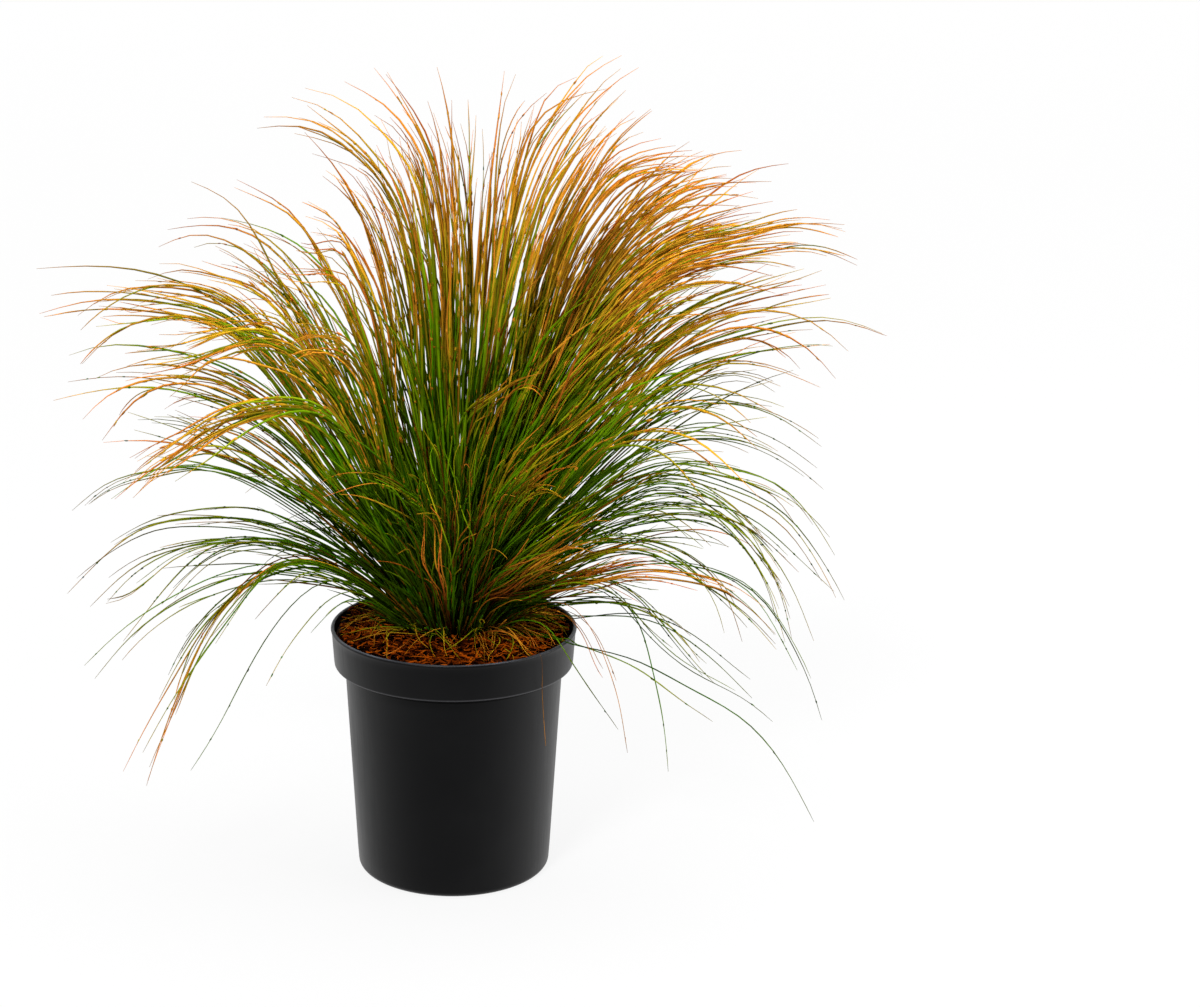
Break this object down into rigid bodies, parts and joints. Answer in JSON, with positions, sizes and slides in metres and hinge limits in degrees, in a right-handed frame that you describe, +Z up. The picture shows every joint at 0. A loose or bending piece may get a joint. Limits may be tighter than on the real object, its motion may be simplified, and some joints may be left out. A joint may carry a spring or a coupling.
{
  "type": "potted mexican feather grass",
  "caption": "Fine-leaved ornamental grass with feathery tan seed heads arching out of a round tapered black nursery pot filled with potting mix and coir.",
  "frame": {"origin": "on the pot's axis at the underside of its base", "axes": "+Z up along the pot's axis, -Y towards the front of the plant, +X to its right as seen from the front"},
  "size_m": [0.3051, 0.2197, 0.2998],
  "materials": {
    "black_plastic": "satin",
    "potting_mix": "matte",
    "coir": "matte",
    "crown_green": "matte",
    "grass_leaf": "satin",
    "seed_heads": "matte",
    "dead_leaf": "matte"
  },
  "bodies": {
    "root": {"coir_litter": "coir", "crown": "crown_green", "dead_leaf_thatch_left": "dead_leaf", "dead_leaf_thatch_right": "dead_leaf", "hanging_dead_leaf": "dead_leaf", "hanging_spray_left": "seed_heads", "hanging_strand_right": "grass_leaf", "hanging_tuft_front_left": "grass_leaf", "hanging_tuft_front_right": "grass_leaf", "hanging_tuft_left": "grass_leaf", "lower_tuft_back_1": "grass_leaf", "lower_tuft_back_2": "grass_leaf", "lower_tuft_back_3": "grass_leaf", "lower_tuft_back_4": "grass_leaf", "lower_tuft_back_5": "grass_leaf", "lower_tuft_front_1": "grass_leaf", "lower_tuft_front_2": "grass_leaf", "lower_tuft_front_3": "grass_leaf", "lower_tuft_left_1": "grass_leaf", "lower_tuft_left_2": "grass_leaf", "lower_tuft_left_3": "grass_leaf", "lower_tuft_right_1": "grass_leaf", "lower_tuft_right_2": "grass_leaf", "lower_tuft_right_3": "grass_leaf", "lower_tuft_right_4": "grass_leaf", "middle_tuft_back_1": "grass_leaf", "middle_tuft_back_2": "grass_leaf", "middle_tuft_back_3": "grass_leaf", "middle_tuft_front": "grass_leaf", "middle_tuft_front_left": "grass_leaf", "middle_tuft_front_right": "grass_leaf", "middle_tuft_left": "grass_leaf", "pot": "black_plastic", "potting_mix": "potting_mix", "seed_spray_back_left": "seed_heads", "seed_spray_back_right": "seed_heads", "seed_spray_front_right": "seed_heads", "seed_spray_left": "seed_heads", "seed_spray_right": "seed_heads", "upper_spray_back_right": "seed_heads", "upper_tuft_back_1": "grass_leaf", "upper_tuft_back_2": "grass_leaf", "upper_tuft_front": "grass_leaf", "upper_tuft_front_left": "grass_leaf", "upper_tuft_front_right": "grass_leaf", "upper_tuft_left_1": "grass_leaf", "upper_tuft_left_2": "grass_leaf", "upper_tuft_right": "grass_leaf", "upright_tuft_back": "grass_leaf", "upright_tuft_front": "grass_leaf", "upright_tuft_left": "grass_leaf", "upright_tuft_right": "grass_leaf"}
  },
  "joints": []
}
